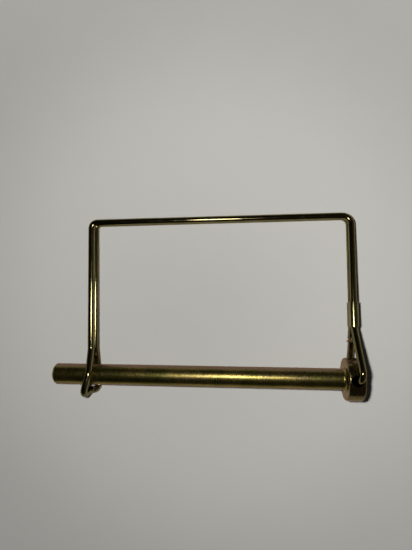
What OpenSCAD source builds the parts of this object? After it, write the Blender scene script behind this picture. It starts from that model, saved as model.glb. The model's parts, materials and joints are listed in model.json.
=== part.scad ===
// Square wire lock pin: a headed pin whose doubled wire bail swings on the head and snaps
// round the far end of the shank. It lies on a table at z = 0, +X runs from the tip to the
// head and +Y from the pin to the bail's top bar. Millimetres.

/* [Pin] */
// Diameter of the plain shank
shank_d = 6.35; // [5.5:0.05:7.5]
// Length of the shank, from the underside of the head to the tip
shank_l = 90.3; // [88.5:0.1:110]
// Width of the chamfer round the tip
tip_chamfer = 0.6; // [0.2:0.1:1.2]
// Radius of the fillet between the shank and the head
neck_fillet = 0.8; // [0.3:0.1:1.2]

/* [Head] */
// Diameter of the head
head_d = 12.7; // [11.5:0.1:14]
// Length of the head along the pin
head_l = 4.9; // [4.8:0.1:6]
// Radius round the head's underside
shoulder_r = 0.5; // [0.2:0.05:0.55]
// Radius round the head's free end
head_edge = 0.5; // [0.2:0.05:0.6]
// Distance from the underside of the head to the axis of the cross hole
hole_back = 2.45; // [2.4:0.05:2.5]
// Diameter of the cross hole
hole_d = 3.4; // [3.1:0.05:3.5]
// Width of the chamfer at the mouths of the cross hole
hole_chamfer = 0.2; // [0.1:0.05:0.25]

/* [Wire] */
// Diameter of the wire
wire_d = 2.1; // [1.8:0.05:2.3]
// Gap between the two strands where they run side by side
strand_gap = 0.12; // [0.08:0.02:0.3]

/* [Bail] */
// Distance along the pin from the cross hole to the eye round the shank
span = 80; // [70:0.5:84]
// Distance from the pin's axis to the top bar, at the head
reach = 50.3; // [40:0.1:65]
// How much nearer to the pin the top bar is at the eye
bar_fall = 1.8; // [0:0.1:4]
// How far the leg at the head leans outwards on its way to the top bar
lean_head = 0.9; // [0:0.1:2]
// How far the leg at the eye leans outwards on its way to the top bar
lean_eye = 1; // [0:0.1:2]
// Bend radius of the corner above the head, at the wire's centre line
corner_head = 2.8; // [2:0.1:5]
// Bend radius of the corner above the eye, at the wire's centre line
corner_eye = 1.9; // [1.6:0.1:5]

/* [Hooked ends] */
// Clearance between the wire and the outer side of the cross hole
hook_fit = 0.06; // [0.05:0.01:0.1]
// Bend radius where a strand turns into the cross hole, at the centre line
hook_bend = 2.1; // [2:0.05:2.4]
// Height of a hook's sharp corner above the head, from the head to the centre line
hook_rise = 2.7; // [2.6:0.05:3.5]
// How far a hook leans out past the mouth of the cross hole, towards the head's free end
hook_lean = 0.5; // [0.1:0.1:0.8]
// Depth to which each end of the wire reaches into the head
hook_depth = 4.2; // [3:0.1:5]
// Where the strands come together on the leg, from the pin's axis
strands_meet = 15.2; // [15.1:0.1:18]

/* [Eye] */
// Clearance between the wire and the shank
eye_fit = 0.15; // [0.1:0.05:0.4]
// Where the strands part again, from the pin's axis
strands_part = 7.9; // [7.5:0.1:12]
// Distance from the pin's axis to the closed end of the eye, at the centre line
eye_back = 5.45; // [5.2:0.05:8]
// Bend radius of the eye's closed end above the shank, at the centre line
eye_bend = 3.8; // [3:0.1:3.9]
// Bend radius where the lower strand turns aside and rises, at the centre line
turn_bend = 1.9; // [1.7:0.05:2]
// Height of the corner above the table where the rising wire turns upright
turn_rise = 3.4; // [3.3:0.1:4]
// How far the lower strand steps towards the head before it turns aside
turn_step = 0.35; // [0:0.05:0.5]
// How far the corner where it turns aside lies beyond the closed end
turn_out = 0.4; // [0:0.05:0.5]
// How far the upper strand steps towards the head as it climbs to the shank
climb_step = 0.45; // [0:0.05:0.5]
// How far the upper strand then steps towards the tip as it crosses the shank
eye_step = 1.5; // [1.15:0.05:1.6]
// How far the upper strand lies outside the lower one on the leg at the eye
strand_step = 0.67; // [0.1:0.01:1]

/* [Sleeve] */
// Thickness of the sleeve's sheet
sheet = 0.3; // [0.25:0.05:0.6]
// Clearance between the sleeve and the strands
sleeve_fit = 0.06; // [0.05:0.01:0.12]
// Length of the sleeve's body, which holds both strands
sleeve_l = 7.5; // [5:0.1:12]
// Distance down the lower strand from the body to the end of the sleeve's tongue
tongue_l = 4; // [3:0.1:6]
// Length of the lip that closes the tongue over the lower strand
lip_l = 0.9; // [0.5:0.1:1.2]
// How far the lip's pointed ear stands out beside the strand
ear = 1; // [0.3:0.1:1.5]
// Width of the seam along the side of the sleeve
seam = 0.25; // [0.1:0.05:0.5]

/* [Hidden] */
$fn = 32;
eps = 0.01;
lap = 0.05;
swell = 0.003;
sleeve_play = 0.4;
tongue_inset = 0.012;
cradle_turn = 45;
ear_place = 0.6;

pin_zinc = [0.50, 0.43, 0.23];
wire_zinc = [0.40, 0.37, 0.17];
sleeve_zinc = [0.62, 0.57, 0.33];

shank_r = shank_d / 2;
head_r = head_d / 2;
wire_r = wire_d / 2;
hole_r = hole_d / 2;
half_pitch = (wire_d + strand_gap) / 2;

// Directions and frames.
function unit(v) = v / norm(v);
function turn(a, b) = acos(max(-1, min(1, unit(a) * unit(b))));
function frame(x, y, z, origin) =
    [for (i = [0:2]) [x[i], y[i], z[i], origin[i]], [0, 0, 0, 1]];

// The hooks, in the head's frame: the wire lies off the hole's axis, and each sharp corner
// stands out past the head. From the lower hook's corner the wire runs into the hole one
// way and up the leg the other.
hook_off = hole_r - wire_r - hook_fit;
hook_top = head_r + hook_rise;
hook_end = [hook_off - hook_lean * hook_depth / hook_rise, 0, hook_depth - head_r];
hook_corner = [hook_off + hook_lean, 0, -hook_top];
into_hole = unit(hook_end - hook_corner);
up_leg = unit([-hook_lean, strands_meet, hook_top - half_pitch]);
hook_centre = hook_corner
    + unit(into_hole + up_leg) * hook_bend / sin(turn(into_hole, up_leg) / 2);
hook_plane = unit(cross(into_hole, up_leg));

// At rest the top bar, the lower hook and the lower strand of the eye touch the table.
bar_h = wire_d + strand_gap / 2;
eye_h = wire_d + eye_fit + shank_r;
function down(roll, pitch) = [-sin(pitch), sin(roll) * cos(pitch), -cos(roll) * cos(pitch)];
function hook_reach(way) =
    hook_centre * way + hook_bend * sqrt(1 - (hook_plane * way) ^ 2) + wire_r;
function leg_tilt(height) = atan((height - bar_h) / reach);
function pin_tilt(height) = atan((height - eye_h) / span);
function settle(height, rounds) =
    rounds == 0 ? height
    : settle(hook_reach(down(leg_tilt(height), pin_tilt(height))), rounds - 1);
head_h = settle(head_r + hook_rise, 6);
roll = leg_tilt(head_h);
pitch = pin_tilt(head_h);

// The head's frame: x along the pin, y along the leg and z along the cross hole.
module on_head() translate([0, 0, head_h]) rotate([-roll, -pitch, 0]) children();
function on_head(x, y, z) =
    let (up = z * cos(roll) - y * sin(roll))
    [x * cos(pitch) - up * sin(pitch),
     y * cos(roll) + z * sin(roll),
     head_h + x * sin(pitch) + up * cos(pitch)];

// The leg at the head: z runs up the leg and y towards the upper strand.
leg_foot = on_head(hook_off, 0, 0);
corner = [hook_off + lean_head, reach, bar_h];
leg_z = unit(corner - leg_foot);
leg_x = unit(cross(on_head(hook_off, 0, 1) - leg_foot, leg_z));
leg_y = cross(leg_z, leg_x);
module on_leg() multmatrix(frame(leg_x, leg_y, leg_z, leg_foot)) children();
function on_leg(y, z) = leg_foot + leg_y * y + leg_z * z;

// From where the strands part: z down the lower strand, x away from the upper strand and y
// towards the head's end.
low_foot = on_leg(-half_pitch, strands_meet);
low_z = unit(on_head(hook_corner.x, 0, hook_corner.z) - low_foot);
low_y = unit(cross(low_z, -leg_y));
strand_slope = turn(-leg_z, low_z);
module on_lower_strand()
    multmatrix(frame(cross(low_y, low_z), low_y, low_z, low_foot)) children();

// The leg at the eye, given by its lower strand's place along the pin.
reach_eye = reach - bar_fall;
function eye_leg_x(y) = -span - lean_eye * y / reach_eye;
function eye_leg_h(y) = eye_h + (bar_h - eye_h) * y / reach_eye;
strand_rise = sqrt(4 * half_pitch ^ 2 - strand_step ^ 2) / 2;

// The eye: each strand runs clear of the shank on a tangent to a circle round its axis.
eye_pass = shank_r + eye_fit + wire_r;
function pass_y(rise) =
    let (slope = atan2(strands_part, rise) - acos(eye_pass / norm([strands_part, rise])))
    eye_pass * tan(slope / 2);
part_h = eye_leg_h(strands_part);
part_x = eye_leg_x(strands_part);
climb_x = part_x - strand_step + climb_step;
eye_out = climb_x - eye_step;
part_bend = wire_d * 2;
turn_x = turn_step - span;

// Extent of the whole on the table, which puts the origin at the middle of its footprint.
x_low = -(hole_back + shank_l) * cos(pitch) - (shank_r - tip_chamfer) * sin(pitch);
x_high = max(corner.x, (head_l - hole_back - head_edge) * cos(pitch)
    + (head_r - head_edge) * sin(pitch) + head_edge - wire_r) + wire_r;
y_low = -max(eye_back + wire_r, head_r);
y_high = reach + wire_r;
centre = [(x_low + x_high) / 2, (y_low + y_high) / 2, 0];

// The bail: one wire, from its upper end in the cross hole round to its lower end, as
// corner points with a bend radius each.
sleeve_bend = wire_r + sleeve_fit + sheet + sleeve_play;
upper_half = [
    [on_head(hook_end.x, 0, -hook_end.z), 0],
    [on_head(hook_corner.x, 0, hook_top), hook_bend],
    [on_leg(half_pitch, strands_meet), sleeve_bend],
    [corner + [0, 0, half_pitch], corner_head],
    [[eye_leg_x(reach_eye) - strand_step, reach_eye, bar_h + half_pitch], corner_eye],
    [[part_x - strand_step, strands_part, part_h + strand_rise], part_bend],
    [[climb_x, pass_y(part_h + strand_rise - eye_h), eye_h + eye_pass], eye_pass]
];
closed_end = [
    [[eye_out, -eye_back, eye_h + eye_pass], eye_bend],
    [[eye_out, -eye_back, turn_rise], turn_bend],
    [[turn_x, -eye_back - turn_out, wire_r], turn_bend]
];
lower_half = [
    [[-span, pass_y(eye_h - part_h + strand_rise), wire_r], eye_pass],
    [[part_x, strands_part, part_h - strand_rise], part_bend],
    [[eye_leg_x(reach_eye), reach_eye, bar_h - half_pitch], corner_eye],
    [corner - [0, 0, half_pitch], corner_head],
    [low_foot, sleeve_bend],
    [on_head(hook_corner.x, 0, -hook_top), hook_bend],
    [on_head(hook_end.x, 0, hook_end.z), 0]
];
bail_path = concat(upper_half, closed_end, lower_half);

// Draws a section round a bend, which starts up the z axis and turns towards +x.
module bend(radius, angle)
    translate([radius, 0, 0]) rotate([90, 0, 180]) rotate_extrude(angle = angle)
        translate([radius, 0]) mirror([1, 0]) children();

// Moves to the far end of such a bend.
module past_bend(radius, angle)
    translate([radius * (1 - cos(angle)), 0, radius * sin(angle)]) rotate([0, angle, 0])
        children();

// How much of a straight run the bend at a corner takes.
function trim(path, i) =
    i == 0 || i == len(path) - 1 ? 0 : path[i][1]
        * tan(turn(path[i][0] - path[i - 1][0], path[i + 1][0] - path[i][0]) / 2);

// Walks the path from corner i: a straight run, the bend at its end, then the rest. A run
// reaches by the lap into its bends, which are thicker by the swell, so that they join.
module walk(path, i, side) {
    leg = path[i + 1][0] - path[i][0];
    length = norm(leg) - trim(path, i) - trim(path, i + 1);
    first = i == 0;
    last = i + 2 == len(path);
    translate([0, 0, first ? 0 : -lap])
        cylinder(r = wire_r, h = length + (first || last ? lap : 2 * lap));
    if (!last) {
        next = path[i + 2][0] - path[i + 1][0];
        axis = unit(cross(leg, next));
        twist = atan2(cross(side, axis) * unit(leg), side * axis);
        translate([0, 0, length]) rotate([0, 0, twist]) {
            bend(path[i + 1][1], turn(leg, next)) circle(wire_r + swell);
            past_bend(path[i + 1][1], turn(leg, next)) walk(path, i + 1, axis);
        }
    }
}

// Half section of the pin, with the radius along x and the head's underside at y = 0.
module pin_profile() {
    translate([0, tip_chamfer - shank_l]) square([shank_r, shank_l - tip_chamfer + eps]);
    translate([0, -shank_l])
        polygon([[0, 0], [shank_r - tip_chamfer, 0], [shank_r, tip_chamfer], [0, tip_chamfer]]);
    difference() {
        translate([0, -neck_fillet]) square([shank_r + neck_fillet, neck_fillet + eps]);
        translate([shank_r + neck_fillet, -neck_fillet]) circle(neck_fillet);
    }
    square([head_r - shoulder_r, head_l]);
    translate([0, shoulder_r]) square([head_r, head_l - shoulder_r - head_edge]);
    translate([head_r - shoulder_r, shoulder_r]) circle(shoulder_r);
    square([head_r - head_edge, head_l]);
    translate([head_r - head_edge, head_l - head_edge]) circle(head_edge);
}

module pin() color(pin_zinc) on_head() difference() {
    translate([-hole_back, 0, 0]) rotate([0, 90, 0]) rotate_extrude() pin_profile();
    cylinder(r = hole_r, h = head_d + 2, center = true);
    for (side = [0, 180]) rotate([side, 0, 0]) translate([0, 0, head_r - hole_chamfer])
        cylinder(r1 = hole_r, r2 = hole_r + 2 * hole_chamfer, h = 2 * hole_chamfer);
}

module bail_wire() color(wire_zinc) {
    start = unit(bail_path[1][0] - bail_path[0][0]);
    side = unit(cross(start, bail_path[2][0] - bail_path[1][0]));
    multmatrix(frame(cross(side, start), side, start, bail_path[0][0]))
        walk(bail_path, 0, side);
}

// The sleeve is rolled round both strands and ends where they begin to bend apart, and its
// tongue goes on down the lower strand, with room for the strand's bend.
bend_trim = sleeve_bend * tan(strand_slope / 2);
bend_room = sleeve_bend * (1 / cos(strand_slope / 2) - 1);
body_foot = strands_meet + bend_trim;
bore_r = wire_r + sleeve_fit;
wrap_r = bore_r + sheet;
tongue_r = wrap_r - tongue_inset;

module sleeve() color(sleeve_zinc) difference() {
    union() {
        on_leg() translate([0, 0, body_foot]) linear_extrude(sleeve_l) oval(wrap_r);
        on_lower_strand() tongue();
    }
    on_leg() {
        translate([0, 0, strands_meet]) linear_extrude(bend_trim + sleeve_l + eps) oval(bore_r);
        translate([0, -seam / 2, strands_meet]) cube([2 * wrap_r, seam, 2 * sleeve_l]);
    }
    on_lower_strand() translate([0, 0, -bend_trim])
        cylinder(r = bore_r + bend_room, h = bend_trim + tongue_l + eps);
}

// Section of the flat oval round both strands, at a radius from their centre lines.
module oval(r) {
    for (side = [-1, 1]) translate([0, side * half_pitch]) circle(r);
    square([2 * r, 2 * half_pitch], center = true);
}

// The tongue cradles the strand from below and from the head's side. Its lip closes over
// the strand and ends in a pointed ear on the tip's side.
module tongue() {
    start = -bend_trim - eps;
    translate([0, 0, start]) linear_extrude(tongue_l - start - lip_l / 2) cradle();
    translate([0, 0, tongue_l - lip_l]) linear_extrude(lip_l) {
        cradle();
        intersection() {
            circle(tongue_r);
            translate([-2 * tongue_r, 0]) square(2 * tongue_r);
        }
    }
    translate([-bore_r - bend_room, 0, tongue_l - lip_l]) rotate([0, -90, 0])
        linear_extrude(tongue_r - bore_r - bend_room)
            polygon([[0, 0], [0, -bore_r], [lip_l * ear_place, -wire_r - ear], [lip_l, -bore_r],
                     [lip_l, 0]]);
}

module cradle() difference() {
    circle(tongue_r);
    rotate(cradle_turn) translate([-2 * tongue_r, -2 * tongue_r]) square([2, 4] * tongue_r);
}

translate(-centre) {
    pin();
    bail_wire();
    sleeve();
}
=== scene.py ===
"""A yellow-plated hitch pin with its folded wire bail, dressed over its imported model.

The pin is one piece, a round shank with a cross hole through its head. The bail is one
wire, folded back on itself at the eye and held together by a small sheet sleeve. All
lengths in the classes are millimetres; the meshes are metres.
"""

from __future__ import annotations

import json
import logging
import math
from dataclasses import dataclass, replace
from enum import Enum
from typing import Any

import bpy
from mathutils import Matrix, Vector

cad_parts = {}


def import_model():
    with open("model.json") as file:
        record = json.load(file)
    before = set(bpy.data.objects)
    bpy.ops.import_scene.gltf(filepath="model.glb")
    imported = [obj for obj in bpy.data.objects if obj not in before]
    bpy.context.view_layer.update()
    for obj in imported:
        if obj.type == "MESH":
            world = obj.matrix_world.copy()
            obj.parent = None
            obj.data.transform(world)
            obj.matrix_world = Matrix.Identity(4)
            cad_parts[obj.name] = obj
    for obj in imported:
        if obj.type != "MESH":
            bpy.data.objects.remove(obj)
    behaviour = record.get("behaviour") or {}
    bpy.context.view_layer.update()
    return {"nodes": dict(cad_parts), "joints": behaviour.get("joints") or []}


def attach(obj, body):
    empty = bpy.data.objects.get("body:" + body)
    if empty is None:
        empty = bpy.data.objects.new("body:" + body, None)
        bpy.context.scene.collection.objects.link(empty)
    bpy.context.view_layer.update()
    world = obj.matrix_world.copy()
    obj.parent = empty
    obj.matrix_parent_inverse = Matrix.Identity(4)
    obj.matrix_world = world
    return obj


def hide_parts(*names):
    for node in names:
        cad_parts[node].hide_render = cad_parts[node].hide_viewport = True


log = logging.getLogger("hitch_pin")

MM = 0.001
Color = tuple[float, float, float]
Point = tuple[float, float, float]

# Sockets of Blender's Mix and Compare nodes that share a name with others and need their index.
MIX_SHARE = 0
MIX_FLOATS = (2, 3)
MIX_COLORS = (6, 7)
MIX_COLOR_OUT = 2
COMPARE_INTS = (2, 3)


# ---------------------------------------------------------------- node trees


class Wiring:
    """Adds, sets and links the nodes of one node tree."""

    def __init__(self, tree: bpy.types.NodeTree) -> None:
        """Takes the tree that the nodes go in."""
        self.tree = tree

    def add(self, kind: str, values: dict[Any, Any] | None = None, **settings: Any) -> bpy.types.Node:
        """Adds a node.

        Args:
            kind: the node's type name.
            values: input socket name or index to a number, or to a socket to link.
            settings: the node's own properties.

        Returns:
            The new node.
        """
        node = self.tree.nodes.new(kind)
        for name, value in settings.items():
            setattr(node, name, value)
        for key, value in (values or {}).items():
            socket = node.inputs[key]
            if isinstance(value, bpy.types.NodeSocket):
                self.tree.links.new(value, socket)
            else:
                socket.default_value = value
        return node

    def maths(self, operation: str, *terms: Any) -> bpy.types.NodeSocket:
        """Adds a Math node and returns its output.

        Args:
            operation: the node's operation.
            terms: its inputs, each a number or a socket.

        Returns:
            The result's socket.
        """
        return self.add("ShaderNodeMath", dict(enumerate(terms)), operation=operation).outputs[0]

    def blend(self, share: Any, low: Any, high: Any) -> bpy.types.NodeSocket:
        """Mixes two colours.

        Args:
            share: how much of the second colour, 0 to 1.
            low: the first colour.
            high: the second colour.

        Returns:
            The mixed colour's socket.
        """
        first, second = MIX_COLORS
        node = self.add("ShaderNodeMix", {MIX_SHARE: share, first: low, second: high}, data_type="RGBA")
        return node.outputs[MIX_COLOR_OUT]

    def mix(self, share: Any, low: Any, high: Any) -> bpy.types.NodeSocket:
        """Mixes two numbers.

        Args:
            share: how much of the second number, 0 to 1.
            low: the first number.
            high: the second number.

        Returns:
            The mixed number's socket.
        """
        first, second = MIX_FLOATS
        node = self.add("ShaderNodeMix", {MIX_SHARE: share, first: low, second: high}, data_type="FLOAT")
        return node.outputs[0]

    def vector(self, operation: str, *terms: Any) -> bpy.types.NodeSocket:
        """Adds a Vector Math node and returns its vector.

        Args:
            operation: the node's operation.
            terms: its inputs, each a vector or a socket.

        Returns:
            The result's socket.
        """
        node = self.add("ShaderNodeVectorMath", dict(enumerate(terms)), operation=operation)
        return node.outputs["Vector"]

    def scaled(self, vector: Any, factor: Any) -> bpy.types.NodeSocket:
        """Multiplies a vector by a number.

        Args:
            vector: the vector or its socket.
            factor: the number or its socket.

        Returns:
            The longer or shorter vector's socket.
        """
        node = self.add("ShaderNodeVectorMath", {"Vector": vector, "Scale": factor}, operation="SCALE")
        return node.outputs["Vector"]

    def parts(self, vector: Any) -> Any:
        """Splits a vector and returns its X, Y and Z sockets by name."""
        return self.add("ShaderNodeSeparateXYZ", {0: vector}).outputs

    def joined(self, x: Any, y: Any, z: Any) -> bpy.types.NodeSocket:
        """Joins three numbers into a vector and returns its socket."""
        return self.add("ShaderNodeCombineXYZ", {0: x, 1: y, 2: z}).outputs[0]

    def use(self, group: bpy.types.NodeTree, values: dict[str, Any]) -> Any:
        """Adds a shader group.

        Args:
            group: the group's tree.
            values: its inputs by name, each a value or a socket.

        Returns:
            The group node's outputs, by name.
        """
        return self.add("ShaderNodeGroup", values, node_tree=group).outputs

    def noise(self, place: Any, scale: float, detail: float, roughness: float = 0.5) -> bpy.types.NodeSocket:
        """Adds a noise texture.

        Args:
            place: the coordinates' socket.
            scale: waves for each unit of the coordinates.
            detail: how many finer layers it has.
            roughness: how strong the finer layers are.

        Returns:
            The value's socket, about 0.5 on average.
        """
        node = self.add(
            "ShaderNodeTexNoise",
            {"Vector": place, "Scale": scale, "Detail": detail, "Roughness": roughness},
        )
        return node.outputs[0]

    def ramp(self, value: Any, low: float, high: float) -> bpy.types.NodeSocket:
        """Stretches a value smoothly from 0 at low to 1 at high.

        Args:
            value: the socket to stretch.
            low: the value that becomes 0.
            high: the value that becomes 1.

        Returns:
            The stretched value's socket.
        """
        node = self.add(
            "ShaderNodeMapRange",
            {"Value": value, "From Min": low, "From Max": high},
            interpolation_type="SMOOTHSTEP",
        )
        return node.outputs[0]


def socket_in(tree: bpy.types.NodeTree, name: str, kind: str, value: Any = None) -> None:
    """Adds a named input to a group tree, with its default value."""
    made = tree.interface.new_socket(name=name, in_out="INPUT", socket_type=kind)
    if value is not None:
        made.default_value = value


def socket_out(tree: bpy.types.NodeTree, name: str, kind: str) -> None:
    """Adds a named output to a group tree."""
    tree.interface.new_socket(name=name, in_out="OUTPUT", socket_type=kind)


# ------------------------------------------------------------ shared effects


class PlatingEffects:
    """The shader groups that the plated pieces share, each built once.

    Attributes:
        cloud_edge, bloom_edge: the noise's values where the olive and the rose clouds start and end.
        bloom_place: how far the rose clouds' noise is moved from the olive clouds'.
        fine_waves, fine_shade: the fine shading's waves for each cloud, and its strength.
        line_height, line_dullness: the drawn lines' share of the marks' height and dullness.
        dull_edge: the marks' values that are smooth and dull.
        ring_drift: how far the turned rings wander.
        rub_edge: the noise's values where a rub starts and ends.
        dent_reach: how far a dent reaches, as a share of the distance between dents.
    """

    cloud_edge = (0.38, 0.62)
    bloom_edge = (0.5, 0.72)
    bloom_place = (7.3, 2.1, 5.9)
    fine_waves = 9.0
    fine_shade = 0.36
    line_height = 0.45
    line_dullness = 0.6
    dull_edge = (0.35, 0.65)
    ring_drift = 0.15
    rub_edge = (0.56, 0.7)
    dent_reach = 0.2

    def __init__(self) -> None:
        """Builds the groups."""
        self.film = self.dichromate_film()
        self.drawn = self.drawn_marks()
        self.turned = self.turned_marks()
        self.handling = self.handling_marks()

    def dichromate_film(self) -> bpy.types.NodeTree:
        """Builds the cloudy colour of a yellow dichromate film: gold, with olive and rose clouds.

        Returns:
            The group, with a Color output.
        """
        tree = bpy.data.node_groups.new("dichromate_film", "ShaderNodeTree")
        socket_in(tree, "Place", "NodeSocketVector")
        socket_in(tree, "Cloud Size", "NodeSocketFloat", 4.0)
        socket_in(tree, "Gold", "NodeSocketColor", (0.6, 0.5, 0.2, 1.0))
        socket_in(tree, "Olive", "NodeSocketColor", (0.4, 0.4, 0.15, 1.0))
        socket_in(tree, "Rose", "NodeSocketColor", (0.5, 0.35, 0.25, 1.0))
        socket_in(tree, "Rose Share", "NodeSocketFloat", 0.3)
        socket_out(tree, "Color", "NodeSocketColor")
        w = Wiring(tree)
        given = w.add("NodeGroupInput").outputs
        place = w.scaled(given["Place"], w.maths("DIVIDE", 1.0, given["Cloud Size"]))
        cloud = w.ramp(w.noise(place, scale=1.0, detail=3.0, roughness=0.55), *self.cloud_edge)
        apart = w.vector("ADD", place, self.bloom_place)
        bloom = w.ramp(w.noise(apart, scale=0.8, detail=4.0, roughness=0.6), *self.bloom_edge)
        fine = w.noise(place, scale=self.fine_waves, detail=2.0)
        ground = w.blend(cloud, given["Gold"], given["Olive"])
        tinted = w.blend(w.maths("MULTIPLY", bloom, given["Rose Share"]), ground, given["Rose"])
        shade = w.maths("MULTIPLY_ADD", fine, self.fine_shade, 1.0 - self.fine_shade / 2)
        w.add("NodeGroupOutput", {"Color": w.scaled(tinted, shade)})
        return tree

    def drawn_marks(self) -> bpy.types.NodeTree:
        """Builds the fine lines that a drawing die leaves along a bar or wire.

        Returns:
            The group, with Height and Dullness outputs from 0 to 1.
        """
        tree = bpy.data.node_groups.new("drawn_marks", "ShaderNodeTree")
        socket_in(tree, "Place", "NodeSocketVector")
        socket_in(tree, "Across", "NodeSocketFloat", 6.0)
        socket_in(tree, "Along", "NodeSocketFloat", 0.25)
        socket_in(tree, "Grain", "NodeSocketFloat", 4.0)
        socket_out(tree, "Height", "NodeSocketFloat")
        socket_out(tree, "Dullness", "NodeSocketFloat")
        w = Wiring(tree)
        given = w.add("NodeGroupInput").outputs
        spread = w.joined(given["Across"], given["Across"], given["Along"])
        lines = w.noise(w.vector("MULTIPLY", given["Place"], spread), scale=1.0, detail=3.0, roughness=0.6)
        grain = w.noise(w.scaled(given["Place"], given["Grain"]), scale=1.0, detail=2.0, roughness=0.6)
        grain_height = w.maths("MULTIPLY", grain, 1.0 - self.line_height)
        height = w.maths("MULTIPLY_ADD", lines, self.line_height, grain_height)
        grain_dullness = w.maths("MULTIPLY", grain, 1.0 - self.line_dullness)
        dull = w.ramp(w.maths("MULTIPLY_ADD", lines, self.line_dullness, grain_dullness), *self.dull_edge)
        w.add("NodeGroupOutput", {"Height": height, "Dullness": dull})
        return tree

    def turned_marks(self) -> bpy.types.NodeTree:
        """Builds the fine rings that a lathe tool leaves round the Z axis of the coordinates.

        Returns:
            The group, with a Height output from 0 to 1.
        """
        tree = bpy.data.node_groups.new("turned_marks", "ShaderNodeTree")
        socket_in(tree, "Place", "NodeSocketVector")
        socket_in(tree, "Rings", "NodeSocketFloat", 6.0)
        socket_out(tree, "Height", "NodeSocketFloat")
        w = Wiring(tree)
        given = w.add("NodeGroupInput").outputs
        part = w.parts(given["Place"])
        across = w.maths("MULTIPLY_ADD", part["X"], part["X"], w.maths("MULTIPLY", part["Y"], part["Y"]))
        drift = w.noise(given["Place"], scale=0.25, detail=1.0)
        radius = w.maths("MULTIPLY_ADD", drift, self.ring_drift, w.maths("SQRT", across))
        rings = w.scaled(w.joined(radius, part["Z"], 0.0), given["Rings"])
        w.add("NodeGroupOutput", {"Height": w.noise(rings, scale=1.0, detail=3.0, roughness=0.65)})
        return tree

    def handling_marks(self) -> bpy.types.NodeTree:
        """Builds the small rubs and dents of a plated part that has been tumbled with others.

        Returns:
            The group, with a Rub output, 1 where the film is rubbed, and a Dent output.
        """
        tree = bpy.data.node_groups.new("handling_marks", "ShaderNodeTree")
        socket_in(tree, "Place", "NodeSocketVector")
        socket_in(tree, "Amount", "NodeSocketFloat", 0.5)
        socket_out(tree, "Rub", "NodeSocketFloat")
        socket_out(tree, "Dent", "NodeSocketFloat")
        w = Wiring(tree)
        given = w.add("NodeGroupInput").outputs
        broad = w.ramp(w.noise(given["Place"], scale=0.45, detail=3.0, roughness=0.65), *self.rub_edge)
        specks = w.add(
            "ShaderNodeTexVoronoi",
            {"Vector": given["Place"], "Scale": 1.3, "Randomness": 1.0},
            feature="F1",
        ).outputs["Distance"]
        dent = w.ramp(specks, 0.0, self.dent_reach)
        w.add("NodeGroupOutput", {"Rub": w.maths("MULTIPLY", broad, given["Amount"]), "Dent": dent})
        return tree


# ------------------------------------------------------------------ finishes


class Lay(Enum):
    """Where a finish takes its own coordinates from."""

    WIRE = "wire_lay"
    BODY = "object"


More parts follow.
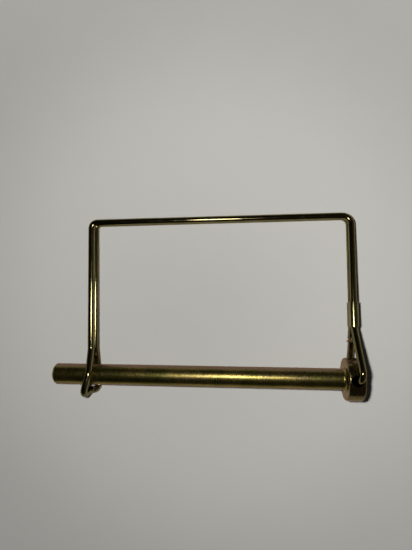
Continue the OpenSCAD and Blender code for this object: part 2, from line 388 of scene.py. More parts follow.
@dataclass(frozen=True)
class YellowZinc:
    """A yellow-chromated zinc finish on steel.

    Its coordinates are millimetres with Z along the piece, either the wire's own
    attribute or the object's coordinates turned to the piece's axis.

    Attributes:
        name: the material's name.
        lay: where the coordinates come from.
        gold, olive, rose: the film's colours.
        rim: the tint of what is seen at a low angle.
        rose_share: how much rose the clouds take.
        cloud: the size of the clouds in millimetres.
        smooth, dull: the least and the most roughness.
        across, along, grain: how fine the drawn marks and the grain are.
        depth: the height of the marks in millimetres.
        rub: how much of the film is rubbed.
        origin, axis: a point of the piece's axis and its direction.
        coat: the weight of the clear film.
        sheen_flank, sheen_flank_edge: painted sheen, how far sideways a bar's surface faces where
        it is painted rose like the film seen at a low angle, or 0 for none, and how soft that
        edge is.
        rubbed, rubbed_share, rubbed_dullness: the colour and roughness that a rub adds.
        dent: how deep the dents are, as a share of the marks.
        lip, lip_dull, lip_to, lip_edge: the paler colour and roughness of a lip, a painted highlight
        in place of the glint on its fold, where it ends along Z, or None for no lip, and how soft
        that end is.
        head_rings, head_edge: the turned rings' fineness beyond Z = 0, or 0 for no head, and how
            soft the change to them is.
        head_color, head_share, head_polish, head_marks: the head's colour, how much of it shows,
            how much smoother the head is and the height of its rings.
    """

    name: str
    lay: Lay
    gold: Color
    olive: Color
    rose: Color
    rim: Color
    rose_share: float = 0.3
    cloud: float = 4.0
    smooth: float = 0.16
    dull: float = 0.3
    across: float = 6.0
    along: float = 0.25
    grain: float = 4.0
    depth: float = 0.012
    rub: float = 0.5
    origin: Point = (0.0, 0.0, 0.0)
    axis: Point = (0.0, 0.0, 1.0)
    coat: float = 0.0
    sheen_flank: float = 0.0
    # Painted sheen: the sides of a bar are painted rose, like the film seen at a low angle.
    sheen_flank_edge: tuple[float, float] = (-0.12, 0.1)
    rubbed: Color = (0.42, 0.39, 0.29)
    rubbed_share: float = 0.2
    rubbed_dullness: float = 0.12
    dent: float = 0.25
    # Painted highlight: the lip is painted paler and duller to stand in for the glint on its fold.
    lip: Color = (0.62, 0.46, 0.26)
    lip_dull: float = 0.5
    lip_to: float | None = None
    lip_edge: tuple[float, float] = (-0.25, 0.1)
    head_rings: float = 0.0
    head_edge: tuple[float, float] = (-0.4, 0.2)
    head_color: Color = (0.15, 0.115, 0.065)
    head_share: float = 0.7
    head_polish: float = 0.08
    head_marks: float = 0.3

    def place(self, w: Wiring) -> bpy.types.NodeSocket:
        """Adds the finish's coordinates and returns their socket."""
        if self.lay is Lay.WIRE:
            return w.add("ShaderNodeAttribute", attribute_name=self.lay.value).outputs["Vector"]
        turn = Vector((0.0, 0.0, 1.0)).rotation_difference(Vector(self.axis)).to_euler()
        mapped = w.add(
            "ShaderNodeMapping",
            {
                "Vector": w.add("ShaderNodeTexCoord").outputs["Object"],
                "Location": tuple(x * MM for x in self.origin),
                "Rotation": tuple(turn),
                "Scale": (MM, MM, MM),
            },
            vector_type="TEXTURE",
        )
        return mapped.outputs[0]

    def sheen_flanks(self, w: Wiring, place: Any, color: Any) -> bpy.types.NodeSocket:
        """Paints the sides of a round bar rose, as a painted sheen of the film seen at a low angle.

        Args:
            w: the material's wiring.
            place: the coordinates' socket.
            color: the bar's colour so far.

        Returns:
            The new colour's socket.
        """
        part = w.parts(place)
        sideways = w.maths("ABSOLUTE", w.maths("SINE", w.maths("ARCTAN2", part["Y"], part["X"])))
        low, high = self.sheen_flank_edge
        return w.blend(w.ramp(sideways, self.sheen_flank + low, self.sheen_flank + high), color, (*self.rose, 1.0))

    def material(self, effects: PlatingEffects) -> bpy.types.Material:
        """Builds the finish.

        Args:
            effects: the shared shader groups.

        Returns:
            The material.
        """
        made = bpy.data.materials.new(self.name)
        made.use_nodes = True
        w = Wiring(made.node_tree)
        place = self.place(w)
        film = w.use(
            effects.film,
            {
                "Place": place,
                "Cloud Size": self.cloud,
                "Gold": (*self.gold, 1.0),
                "Olive": (*self.olive, 1.0),
                "Rose": (*self.rose, 1.0),
                "Rose Share": self.rose_share,
            },
        )
        marks = {"Place": place, "Across": self.across, "Along": self.along, "Grain": self.grain}
        drawn = w.use(effects.drawn, marks)
        handled = w.use(effects.handling, {"Place": place, "Amount": self.rub})
        height = drawn["Height"]
        even = w.maths("MULTIPLY_ADD", drawn["Dullness"], self.dull - self.smooth, self.smooth)
        roughness = w.maths("MULTIPLY_ADD", handled["Rub"], self.rubbed_dullness, even)
        color = self.sheen_flanks(w, place, film["Color"]) if self.sheen_flank else film["Color"]
        color = w.blend(w.maths("MULTIPLY", handled["Rub"], self.rubbed_share), color, (*self.rubbed, 1.0))
        if self.head_rings:
            head = w.ramp(w.parts(place)["Z"], *self.head_edge)
            turned = w.use(effects.turned, {"Place": place, "Rings": self.head_rings})
            height = w.mix(head, height, w.maths("MULTIPLY", turned["Height"], self.head_marks))
            color = w.blend(w.maths("MULTIPLY", head, self.head_share), color, (*self.head_color, 1.0))
            roughness = w.maths("SUBTRACT", roughness, w.maths("MULTIPLY", head, self.head_polish))
        # Painted highlight: the lip is painted paler and duller, in place of the glint on its fold.
        if self.lip_to is not None:
            lip = w.ramp(w.maths("SUBTRACT", self.lip_to, w.parts(place)["Z"]), *self.lip_edge)
            color = w.blend(lip, color, (*self.lip, 1.0))
            roughness = w.mix(lip, roughness, self.lip_dull)
        dented = w.maths("MULTIPLY_ADD", handled["Dent"], self.dent, height)
        bump = w.add("ShaderNodeBump", {"Height": dented, "Distance": self.depth * MM, "Strength": 1.0})
        shader = made.node_tree.nodes["Principled BSDF"].inputs
        w.tree.links.new(color, shader["Base Color"])
        w.tree.links.new(roughness, shader["Roughness"])
        w.tree.links.new(bump.outputs[0], shader["Normal"])
        shader["Metallic"].default_value = 1.0
        shader["Coat Weight"].default_value = self.coat
        shader["Coat Roughness"].default_value = self.smooth
        shader["Specular Tint"].default_value = (*self.rim, 1.0)
        return made


# -------------------------------------------------------------------- layout


@dataclass(frozen=True)
class Turn:
    """One corner of the wire's route: its name, its place and its bend radius."""

    name: str
    at: Vector
    bend: float


@dataclass(frozen=True)
class Layout:
    """The sizes that the pin, the bail and the sleeve share, and where they put things.

    Everything hangs from the cross hole in the head, whose place and axis the bail's joint
    gives. +X runs along the pin to its head, +Y from the pin to the top bar and +Z up.

    Attributes:
        hole_at, hole_axis: the middle of the cross hole and its direction, upwards.
        shank_d, head_d: the shank's and the head's diameter.
        hole_back, hole_d: the cross hole's distance from the head's underside, and its diameter.
        wire_d, strand_gap: the wire's diameter and the gap between the strands.
        span: from the cross hole to the eye, along the pin.
        reach, bar_fall: from the pin's axis to the top bar at the head, and how much less at the eye.
        lean_head, lean_eye: how far each leg leans outwards on its way to the top bar.
        corner_head, corner_eye: the bend radius of the corner above each leg.
        hook_fit, hook_bend: the wire's clearance in the cross hole, and the hook's bend radius.
        hook_rise, hook_lean: how far a hook's corner stands above the head and leans out.
        hook_depth: how deep each end of the wire reaches into the head.
        strands_meet, sleeve_bend: where the strands come together on the leg, and their bend there.
        eye_fit: the wire's clearance from the shank.
        strands_part: where the strands part again, from the pin's axis.
        eye_back, eye_bend: from the pin's axis to the closed end, and its upper bend radius.
        eye_sag, eye_peak: how far the upper strand's corner above the shank is lowered, and the
            next one raised, from the level that runs just clear of the shank.
        turn_bend, turn_rise: the bend radius of the rising wire, and where it turns upright.
        turn_step, turn_out: where the lower strand turns aside, along the pin and away from it.
        climb_step, eye_step: the upper strand's steps along the pin, up to the shank and over it.
        strand_step: how far the upper strand lies outside the lower one on the leg at the eye.
    """

    hole_at: Vector
    hole_axis: Vector
    shank_d: float = 6.35
    head_d: float = 12.7
    hole_back: float = 2.45
    hole_d: float = 3.4
    wire_d: float = 2.1
    strand_gap: float = 0.12
    span: float = 80.0
    reach: float = 50.3
    bar_fall: float = 1.8
    lean_head: float = 0.9
    lean_eye: float = 1.0
    corner_head: float = 2.8
    corner_eye: float = 1.9
    hook_fit: float = 0.06
    hook_bend: float = 2.1
    hook_rise: float = 2.7
    hook_lean: float = 0.5
    hook_depth: float = 4.2
    strands_meet: float = 15.2
    sleeve_bend: float = 1.81
    eye_fit: float = 0.15
    strands_part: float = 7.9
    eye_back: float = 5.45
    eye_bend: float = 2.4
    eye_sag: float = 0.2
    eye_peak: float = 1.15
    turn_bend: float = 1.9
    turn_rise: float = 3.4
    turn_step: float = 0.35
    turn_out: float = 0.4
    climb_step: float = 0.45
    eye_step: float = 1.5
    strand_step: float = 0.67

    @classmethod
    def from_joint(cls, joint: dict[str, Any]) -> Layout:
        """Reads the cross hole's place and direction from the joint that turns in it."""
        return cls(Vector(joint["pos_m"]) / MM, -Vector(joint["axis"]).normalized())

    @property
    def half_pitch(self) -> float:
        """Half the distance between the two strands' centre lines."""
        return (self.wire_d + self.strand_gap) / 2

    @property
    def bar_h(self) -> float:
        """The height of the middle of the top bar, whose lower strand lies on the table."""
        return self.wire_d + self.strand_gap / 2

    @property
    def eye_h(self) -> float:
        """The height of the pin's axis at the eye, whose lower strand lies on the table."""
        return self.wire_d + self.eye_fit + self.shank_d / 2

    @property
    def eye_pass(self) -> float:
        """The distance from the pin's axis to the wire that passes it."""
        return self.shank_d / 2 + self.eye_fit + self.wire_d / 2

    @property
    def pin_axis(self) -> Vector:
        """The direction of the pin, from its tip to its head."""
        return Vector((0.0, 1.0, 0.0)).cross(self.hole_axis).normalized()

    @property
    def head_seat(self) -> Vector:
        """The point of the pin's axis at the underside of the head."""
        return self.on_head(-self.hole_back, 0.0)

    @property
    def leg_axis(self) -> Vector:
        """The direction of the leg at the head, up to the top bar."""
        return (self.bar_corner - self.leg_foot).normalized()

    @property
    def hook_off(self) -> float:
        """How far the wire lies off the cross hole's axis."""
        return (self.hole_d - self.wire_d) / 2 - self.hook_fit

    @property
    def leg_foot(self) -> Vector:
        """The foot of the leg at the head, in the middle of the cross hole."""
        return self.on_head(self.hook_off, 0.0)

    @property
    def bar_corner(self) -> Vector:
        """The corner of the bail above the head, midway between the strands."""
        return self.on_table(self.hook_off + self.lean_head, self.reach, self.bar_h)

    def on_table(self, x: float, y: float, z: float) -> Vector:
        """Places a point from the foot of the plumb line through the cross hole."""
        return Vector((self.hole_at.x + x, self.hole_at.y + y, z))

    def on_head(self, x: float, z: float) -> Vector:
        """Places a point from the middle of the cross hole: x along the pin, z up the hole."""
        return self.hole_at + self.pin_axis * x + self.hole_axis * z

    def on_leg(self, side: int) -> Vector:
        """Places the point where a strand enters the sleeve, the upper with side 1, the lower -1."""
        across = self.hole_axis.cross(self.leg_axis).normalized()
        towards_upper = self.leg_axis.cross(across)
        return self.leg_foot + towards_upper * side * self.half_pitch + self.leg_axis * self.strands_meet

    def hook(self, side: int) -> tuple[Turn, Turn]:
        """Gives a hooked end of the wire: its tip in the cross hole, and its bend.

        Args:
            side: 1 for the upper hook, -1 for the lower one.

        Returns:
            The tip and the bend.
        """
        name = "upper hook" if side > 0 else "lower hook"
        tip_x = self.hook_off - self.hook_lean * self.hook_depth / self.hook_rise
        tip_z = side * (self.head_d / 2 - self.hook_depth)
        bend_z = side * (self.head_d / 2 + self.hook_rise)
        return (
            Turn(f"{name} tip", self.on_head(tip_x, tip_z), 0.0),
            Turn(name, self.on_head(self.hook_off + self.hook_lean, bend_z), self.hook_bend),
        )

    def pass_y(self, rise: float) -> float:
        """Gives the corner from which a strand runs on as a tangent to the circle round the pin.

        Args:
            rise: the height, from the pin's axis, at which the strand parts from the other.

        Returns:
            The corner's distance from the pin towards the top bar.
        """
        away = math.atan2(self.strands_part, rise)
        slope = away - math.acos(self.eye_pass / math.hypot(self.strands_part, rise))
        return self.eye_pass * math.tan(slope / 2)

    def strand(self, side: int) -> tuple[Turn, ...]:
        """Gives one strand's corners, from the sleeve to where it passes the pin.

        Args:
            side: 1 for the upper strand, -1 for the lower one.

        Returns:
            The corners.
        """
        name = "upper strand" if side > 0 else "lower strand"
        step = self.strand_step if side > 0 else 0.0
        far = self.reach - self.bar_fall
        near = self.strands_part / far
        part_x = -self.span - self.lean_eye * near
        part_h = self.eye_h + (self.bar_h - self.eye_h) * near
        part_rise = math.sqrt(4 * self.half_pitch**2 - self.strand_step**2) / 2
        offset = side * self.half_pitch
        pass_y = self.pass_y(side * (part_h - self.eye_h) + part_rise)
        if side > 0:
            pass_x = part_x - step + self.climb_step
            passing = self.on_table(pass_x, pass_y, self.eye_h + self.eye_pass - self.eye_sag)
        else:
            passing = self.on_table(-self.span, pass_y, self.wire_d / 2)
        parting = self.on_table(part_x - step, self.strands_part, part_h + side * part_rise)
        eye_corner = self.on_table(-self.span - self.lean_eye - step, far, self.bar_h + offset)
        return (
            Turn(f"{name} enters the sleeve", self.on_leg(side), self.sleeve_bend),
            Turn(f"{name} above the head", self.bar_corner + Vector((0.0, 0.0, offset)), self.corner_head),
            Turn(f"{name} above the eye", eye_corner, self.corner_eye),
            Turn(f"{name} parts", parting, 2 * self.wire_d),
            Turn(f"{name} passes the pin", passing, self.eye_pass),
        )

    def closed_end(self) -> tuple[Turn, ...]:
        """Gives the closed end of the eye, from the upper strand down to the lower one."""
        upper = self.strand(1)[-1].at
        x = upper.x - self.hole_at.x - self.eye_step
        top = self.eye_h + self.eye_pass + self.eye_peak
        aside = self.on_table(self.turn_step - self.span, -self.eye_back - self.turn_out, self.wire_d / 2)
        return (
            Turn("closed end above the pin", self.on_table(x, -self.eye_back, top), self.eye_bend),
            Turn("closed end turns down", self.on_table(x, -self.eye_back, self.turn_rise), self.turn_bend),
            Turn("closed end turns aside", aside, self.turn_bend),
        )

    def route(self) -> tuple[Turn, ...]:
        """Gives the whole wire's corners, from its upper end round the eye to its lower end."""
        upper = (*self.hook(1), *self.strand(1))
        lower = (*self.hook(-1), *self.strand(-1))
        return (*upper, *self.closed_end(), *reversed(lower))


# -------------------------------------------------------------------- pieces


def dress(node: bpy.types.Object, finish: bpy.types.Material) -> None:
    """Puts a finish in every material slot of a piece."""
    if not node.material_slots:
        node.data.materials.append(finish)
    for held in node.material_slots:
        held.material = finish


@dataclass
class Pin:
    """The pin in one piece: a round shank, a neck fillet and a drilled head."""

    node: bpy.types.Object
    layout: Layout
    finish: YellowZinc = YellowZinc(
        name="pin_yellow_zinc",
        lay=Lay.BODY,
        gold=(0.35, 0.265, 0.08),
        olive=(0.22, 0.19, 0.05),
        rose=(0.25, 0.165, 0.11),
        rim=(0.88, 0.73, 0.61),
        rose_share=0.5,
        # Painted sheen: the shank's sides are painted rose, like the film seen at a low angle.
        sheen_flank=0.84,
        cloud=7.0,
        smooth=0.25,
        dull=0.38,
        across=1.2,
        along=4.0,
        grain=5.0,
        depth=0.024,
        rub=0.3,
        head_rings=5.0,
    )

    def dress(self, effects: PlatingEffects) -> bpy.types.Object:
        """Gives the pin its finish, set to its own axis from the head's underside.

        Args:
            effects: the shared shader groups.

        Returns:
            The dressed piece.
        """
        seat, axis = tuple(self.layout.head_seat), tuple(self.layout.pin_axis)
        dress(self.node, replace(self.finish, origin=seat, axis=axis).material(effects))
        return self.node


@dataclass
class Bail:
    """The bail: one wire from hook to hook, folded back round the pin as an eye."""

    layout: Layout
    sides: int = 48
    steps: int = 28
    finish: YellowZinc = YellowZinc(
        name="wire_yellow_zinc",
        lay=Lay.WIRE,
        gold=(0.235, 0.19, 0.085),
        olive=(0.165, 0.15, 0.065),
        rose=(0.19, 0.12, 0.075),
        rim=(0.50, 0.44, 0.30),
        rose_share=0.25,
        cloud=5.0,
        smooth=0.08,
        dull=0.16,
        across=3.0,
        along=0.12,
        grain=1.8,
        depth=0.0015,
        rub=0.35,
        coat=0.2,
    )

    def line(self) -> bpy.types.Object:
        """Makes the route as a mesh of corners and edges, each corner with its bend radius.

        Returns:
            The line's object.
        """
        route = self.layout.route()
        for turn in route:
            log.debug("%s: bend radius %.2f mm", turn.name, turn.bend)
        corners = [tuple(turn.at * MM) for turn in route]
        edges = [(i, i + 1) for i in range(len(corners) - 1)]
        mesh = bpy.data.meshes.new("bail_route")
        mesh.from_pydata(corners, edges, [])
        bends = mesh.attributes.new("bend", "FLOAT", "POINT")
        bends.data.foreach_set("value", [turn.bend * MM for turn in route])
        line = bpy.data.objects.new("bail_route", mesh)
        bpy.context.scene.collection.objects.link(line)
        return line

    def sweep(self) -> bpy.types.NodeTree:
        """Builds the tree that bends the route, runs the round wire along it and marks its lay.

        Returns:
            The tree, with inputs for the wire's radius, its sides, the steps of a bend and its material.
        """
        tree = bpy.data.node_groups.new("bent_wire", "GeometryNodeTree")
        tree.is_modifier = True
        socket_in(tree, "Route", "NodeSocketGeometry")
        socket_in(tree, "Wire Radius", "NodeSocketFloat", 1.0)
        socket_in(tree, "Sides", "NodeSocketInt", 32)
        socket_in(tree, "Bend Steps", "NodeSocketInt", 16)
        socket_in(tree, "Finish", "NodeSocketMaterial")
        socket_out(tree, "Wire", "NodeSocketGeometry")
        w = Wiring(tree)
        given = w.add("NodeGroupInput").outputs
        line = w.add("GeometryNodeMeshToCurve", {"Mesh": given["Route"]}).outputs["Curve"]
        bend = w.add("GeometryNodeInputNamedAttribute", {"Name": "bend"}, data_type="FLOAT").outputs[0]
        bent = w.add(
            "GeometryNodeFilletCurve",
            {"Curve": line, "Count": given["Bend Steps"], "Radius": bend},
            mode="POLY",
        ).outputs["Curve"]
        reach = w.add("GeometryNodeSplineParameter").outputs["Length"]
        kept = w.add("GeometryNodeCaptureAttribute", {"Geometry": bent})
        kept.capture_items.new("FLOAT", "Reach")
        w.tree.links.new(reach, kept.inputs["Reach"])
        ring = w.add(
            "GeometryNodeCurvePrimitiveCircle",
            {"Resolution": given["Sides"], "Radius": given["Wire Radius"]},
            mode="RADIUS",
        ).outputs["Curve"]
        round_kept = w.add("GeometryNodeCaptureAttribute", {"Geometry": ring})
        round_kept.capture_items.new("VECTOR", "Side")
        w.tree.links.new(w.add("GeometryNodeInputPosition").outputs[0], round_kept.inputs["Side"])
        skin = w.add(
            "GeometryNodeCurveToMesh",
            {
                "Curve": kept.outputs["Geometry"],
                "Profile Curve": round_kept.outputs["Geometry"],
                "Fill Caps": True,
            },
        ).outputs["Mesh"]
        lengthwise = w.joined(0.0, 0.0, kept.outputs["Reach"])
        in_mm = w.scaled(w.vector("ADD", round_kept.outputs["Side"], lengthwise), 1.0 / MM)
        marked = w.add(
            "GeometryNodeStoreNamedAttribute",
            {"Geometry": skin, "Name": Lay.WIRE.value, "Value": in_mm},
            data_type="FLOAT_VECTOR",
            domain="POINT",
        ).outputs[0]
        corners = w.add("GeometryNodeInputMeshFaceNeighbors").outputs["Vertex Count"]
        own, cap = COMPARE_INTS
        side = w.add(
            "FunctionNodeCompare",
            {own: corners, cap: given["Sides"]},
            data_type="INT",
            operation="LESS_THAN",
        ).outputs[0]
        flat = w.add("GeometryNodeSetShadeSmooth", {"Geometry": marked, "Shade Smooth": False}).outputs[0]
        smooth = w.add(
            "GeometryNodeSetShadeSmooth", {"Geometry": flat, "Selection": side, "Shade Smooth": True}
        ).outputs[0]
        real = w.add("GeometryNodeRealizeInstances", {"Geometry": smooth}).outputs[0]
        coated = w.add("GeometryNodeSetMaterial", {"Geometry": real, "Material": given["Finish"]}).outputs[0]
        w.add("NodeGroupOutput", {"Wire": coated})
        return tree

    def build(self, effects: PlatingEffects) -> bpy.types.Object:
        """Makes the wire as a plain mesh.

        Args:
            effects: the shared shader groups.

        Returns:
            The wire's object.
        """
        line = self.line()
        tree = self.sweep()
        maker = line.modifiers.new("bent_wire", "NODES")
        maker.node_group = tree
        given = {
            "Wire Radius": self.layout.wire_d / 2 * MM,
            "Sides": self.sides,
            "Bend Steps": self.steps,
            "Finish": self.finish.material(effects),
        }
        for item in tree.interface.items_tree:
            if item.name in given:
                maker[item.identifier] = given[item.name]
        seen = line.evaluated_get(bpy.context.evaluated_depsgraph_get())
        mesh = bpy.data.meshes.new_from_object(seen)
        mesh.name = "bail_wire_bent"
        wire = bpy.data.objects.new("bail_wire_bent", mesh)
        bpy.context.scene.collection.objects.link(wire)
        bpy.data.objects.remove(line)
        return wire


@dataclass
class Sleeve:
    """The sheet sleeve that holds the strands together, with its tongue and lip."""

    node: bpy.types.Object
    layout: Layout
    lip_l: float = 0.9
    finish: YellowZinc = YellowZinc(
        name="sleeve_yellow_zinc",
        lay=Lay.BODY,
        gold=(0.32, 0.28, 0.14),
        olive=(0.23, 0.22, 0.10),
        rose=(0.25, 0.175, 0.12),
        rim=(0.50, 0.45, 0.32),
        rose_share=0.3,
        cloud=3.0,
        smooth=0.12,
        dull=0.22,
        across=3.0,
        along=0.6,
        grain=2.5,
        depth=0.002,
        rub=0.5,
        coat=0.2,
    )

    def dress(self, effects: PlatingEffects) -> bpy.types.Object:
        """Gives the sleeve its finish, with the lip's painted highlight at the end towards the head.

        Args:
            effects: the shared shader groups.

        Returns:
            The dressed piece.
        """
        axis = self.layout.leg_axis
        end = min(axis.dot(vertex.co) for vertex in self.node.data.vertices) / MM
        finish = replace(self.finish, axis=tuple(axis), lip_to=end + self.lip_l)
        dress(self.node, finish.material(effects))
        return self.node


# -------------------------------------------------------------------- studio


def seen_rays(w: Wiring) -> bpy.types.NodeSocket:
    """Adds a mask that is 1 for what the camera sees, directly or in metal and glass.

    Args:
        w: the wiring of the material.

    Returns:
        The mask's socket.
    """
    path = w.add("ShaderNodeLightPath").outputs
    mirrored = w.maths("MAXIMUM", path["Is Glossy Ray"], path["Is Transmission Ray"])
    return w.maths("MAXIMUM", path["Is Camera Ray"], mirrored)


@dataclass
class Studio:
    """The pale table, the lamp beside the camera, the dim soft room and the camera.

    Attributes:
        table_size, table_drop: the table's width, and how far it lies below the pieces.
        table_color, table_dullness: its paint and its roughness.
        mottle, mottle_waves: how strong the paint's mottling is, and its waves for each metre.
        painted_light_slope, painted_light_range, painted_slope_reach: painted light, the way towards
            which the table is painted paler, its shades at the darkest and palest place, and how far
            from the middle those are.
        painted_ring_lift, painted_ring_reach: painted light, how much paler it is painted by that
            distance from the middle.
        painted_falloff, painted_falloff_reach: painted shade, how much darker it is painted from there
            on, like the lamp's light falling off, and where that ends.
        far_from_to: where it starts to take the backdrop's colour, and where it has it.
        lamp_at, lamp_radius, lamp_share: the table's lamp.
        glint_at, glint_radius, glint_share: the lamp that polished metal shows.
        soft_light: the room's even light.
        ceiling, warm_side, warm_from_to: what metal shows overhead and towards +X.
        backdrop, backdrop_top: the pale colour low down, and the height where it ends.
        camera_at, camera_aim, lens, sensor, seen_from_to: the camera.
    """

    table_size: float = 6000.0
    table_drop: float = 0.02
    table_color: Color = (0.440, 0.430, 0.402)
    table_dullness: float = 0.9
    mottle: float = 0.03
    mottle_waves: float = 90.0
    # Painted light and shade: these fields paint the table paler and darker where the lamp's light would
    # fall unevenly.
    painted_light_slope: Point = (0.76, 0.65, 0.0)
    painted_light_range: tuple[float, float] = (0.80, 1.24)
    painted_slope_reach: float = 140.0
    painted_ring_lift: float = 0.10
    painted_ring_reach: float = 55.0
    painted_falloff: float = -0.16
    painted_falloff_reach: float = 110.0
    far_from_to: tuple[float, float] = (62.0, 190.0)
    lamp_at: Point = (-6.3, 11.0, 135.0)
    lamp_radius: float = 3.5
    lamp_share: float = 0.97
    glint_at: Point = (2.0, 8.0, 135.0)
    glint_radius: float = 16.0
    glint_share: float = 0.36
    soft_light: float = 0.02
    ceiling: float = 0.010
    warm_side: Color = (0.085, 0.070, 0.050)
    warm_from_to: tuple[float, float] = (0.0, 0.9)
    backdrop: Color = (0.40, 0.395, 0.375)
    backdrop_top: float = 0.07
    camera_at: Point = (6.585, 6.995, 135.6)
    camera_aim: Point = (0.437, 9.143, 0.0)
    lens: float = 27.03
    sensor: float = 36.0
    seen_from_to: tuple[float, float] = (1.0, 20000.0)

    def table(self) -> bpy.types.Object:
        """Makes the table top: faintly mottled paint, with painted light that makes it paler towards the far
        right and round the middle, and painted shade that dims it at the edges.

        Returns:
            The table's object.
        """
        half = self.table_size / 2 * MM
        level = -self.table_drop * MM
        corners = [(x * half, y * half, level) for x, y in ((-1, -1), (1, -1), (1, 1), (-1, 1))]
        mesh = bpy.data.meshes.new("table")
        mesh.from_pydata(corners, [], [tuple(range(len(corners)))])
        table = bpy.data.objects.new("table", mesh)
        bpy.context.scene.collection.objects.link(table)
        paint = bpy.data.materials.new("table_paint")
        paint.use_nodes = True
        w = Wiring(paint.node_tree)
        place = w.add("ShaderNodeTexCoord").outputs["Object"]
        flat = w.scaled(place, 1.0 / MM)
        waves = w.noise(place, scale=self.mottle_waves, detail=3.0)
        mottle = w.maths("MULTIPLY_ADD", waves, self.mottle, 1.0 - self.mottle / 2)
        # Painted light and shade: the paint is made paler towards the far right and in a ring round the
        # middle, and darker further out, in place of the lamp's uneven light; only the mottle is the paint's
        # own.
        dot = w.add("ShaderNodeVectorMath", {0: flat, 1: self.painted_light_slope}, operation="DOT_PRODUCT")
        across = w.ramp(dot.outputs["Value"], -self.painted_slope_reach, self.painted_slope_reach)
        low, high = self.painted_light_range
        shade = w.maths("MULTIPLY_ADD", across, high - low, low)
        out = w.add("ShaderNodeVectorMath", {0: flat}, operation="LENGTH").outputs["Value"]
        lift = w.maths("MULTIPLY_ADD", w.ramp(out, 0.0, self.painted_ring_reach), self.painted_ring_lift, 1.0)
        edge = w.maths("MULTIPLY_ADD", w.ramp(out, self.painted_ring_reach, self.painted_falloff_reach), self.painted_falloff, lift)
        mottle_and_painted_light = w.maths("MULTIPLY", mottle, w.maths("MULTIPLY", shade, edge))
        # Far out, where the lamp's light fades, the table takes the backdrop's colour and keeps no shadow.
        height = self.lamp_at[2]
        slant = w.maths("SQRT", w.maths("MULTIPLY_ADD", out, out, height**2))
        fade = w.maths("SUBTRACT", 1.0, w.maths("DIVIDE", height, slant))
        far = w.maths("MULTIPLY", fade, w.ramp(out, *self.far_from_to))
        shader = paint.node_tree.nodes["Principled BSDF"].inputs
        w.tree.links.new(w.scaled(self.table_color, mottle_and_painted_light), shader["Base Color"])
        w.tree.links.new(
            w.scaled(self.backdrop, w.maths("MULTIPLY", far, seen_rays(w))), shader["Emission Color"]
        )
        shader["Emission Strength"].default_value = 1.0
        shader["Roughness"].default_value = self.table_dullness
        shader["Specular IOR Level"].default_value = 0.0
        table.data.materials.append(paint)
        return table

    def lamp(self, name: str, at: Point, radius: float, share: float) -> bpy.types.Object:
        """Makes a small soft lamp, whose light doesn't fall off across the table.

        Args:
            name: the lamp's name.
            at: its place in millimetres.
            radius: its radius in millimetres.
            share: how white a white table would look under it alone.

        Returns:
            The lamp's object.
        """
        data = bpy.data.lights.new(name, "POINT")
        data.shadow_soft_size = radius * MM
        # A white table shows as 1 under 4 pi^2 watts, because the constant fall-off takes the distance out.
        data.energy = share * 4.0 * math.pi**2
        data.use_nodes = True
        w = Wiring(data.node_tree)
        even = w.add("ShaderNodeLightFalloff", {"Strength": 1.0}).outputs["Constant"]
        w.tree.links.new(even, data.node_tree.nodes["Emission"].inputs["Strength"])
        lamp = bpy.data.objects.new(name, data)
        lamp.location = Vector(at) * MM
        bpy.context.scene.collection.objects.link(lamp)
        return lamp

    def lamps(self) -> None:
        """Makes the table's lamp and, beside it, the softer one that polished metal shows."""
        self.lamp("lamp", self.lamp_at, self.lamp_radius, self.lamp_share).visible_glossy = False
        self.lamp("lamp_glint", self.glint_at, self.glint_radius, self.glint_share).visible_diffuse = False

    def air(self) -> bpy.types.World:
        """Makes the room's own light: soft and even, with a dark ceiling and a pale backdrop low down.

        Returns:
            The world.
        """
        world = bpy.data.worlds.new("room")
        world.use_nodes = True
        w = Wiring(world.node_tree)
        seen = w.add("ShaderNodeLightPath").outputs
        away = w.parts(w.add("ShaderNodeTexCoord").outputs["Generated"])
        high = w.ramp(away["Z"], 0.0, self.backdrop_top)
        side = w.ramp(away["X"], *self.warm_from_to)
        dark = w.blend(side, (*[self.ceiling] * 3, 1.0), (*self.warm_side, 1.0))
        soft = (*[self.soft_light] * 3, 1.0)
        mirrored = w.blend(high, (*self.backdrop, 1.0), dark)
        glossy = w.maths("MAXIMUM", seen["Is Glossy Ray"], seen["Is Transmission Ray"])
        lit = w.blend(glossy, soft, mirrored)
        w.tree.links.new(
            w.blend(seen["Is Camera Ray"], lit, (*self.backdrop, 1.0)),
            world.node_tree.nodes["Background"].inputs["Color"],
        )
        bpy.context.scene.world = world
        return world

    def camera(self) -> bpy.types.Object:
        """Sets the camera above the pin, with the frame's upper edge towards +Y.

        Returns:
            The camera's object.
        """
        data = bpy.data.cameras.new("camera")
        data.sensor_width = self.sensor
        data.lens = self.lens
        data.clip_start, data.clip_end = (x * MM for x in self.seen_from_to)
        camera = bpy.data.objects.new("camera", data)
        back = (Vector(self.camera_at) - Vector(self.camera_aim)).normalized()
        right = Vector((0.0, 1.0, 0.0)).cross(back).normalized()
        up = back.cross(right)
        turn = Matrix((right, up, back)).transposed().to_4x4()
        camera.matrix_world = Matrix.Translation(Vector(self.camera_at) * MM) @ turn
        bpy.context.scene.collection.objects.link(camera)
        bpy.context.scene.camera = camera
        return camera

    def build(self) -> None:
        """Makes the table, lamp, room and camera, and the plain view of colours."""
        self.table()
        self.lamps()
        self.air()
        self.camera()
        bpy.context.scene.view_settings.view_transform = "Standard"


# ---------------------------------------------------------------------- main


def report(piece: bpy.types.Object) -> None:
    """Logs a piece's name and how many faces it has."""
    log.info("%s: %d faces", piece.name, len(piece.data.polygons))


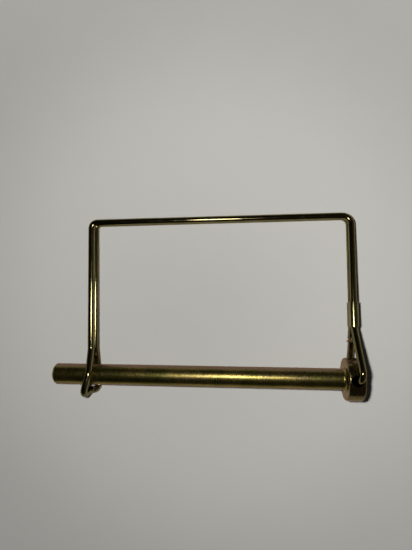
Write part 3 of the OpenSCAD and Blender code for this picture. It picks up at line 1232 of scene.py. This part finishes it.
def main() -> None:
    """Builds the pin, the bail and the sleeve in their finishes, and the studio round them."""
    logging.basicConfig(level=logging.INFO, format="%(message)s")
    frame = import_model()
    layout = Layout.from_joint(next(joint for joint in frame["joints"] if joint["name"] == "bail_swing"))
    effects = PlatingEffects()
    report(Pin(frame["nodes"]["pin"], layout).dress(effects))
    wire = Bail(layout).build(effects)
    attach(wire, "bail")
    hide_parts("bail_wire")
    report(wire)
    report(Sleeve(frame["nodes"]["sleeve"], layout).dress(effects))
    Studio().build()


if __name__ == "__main__":
    main()
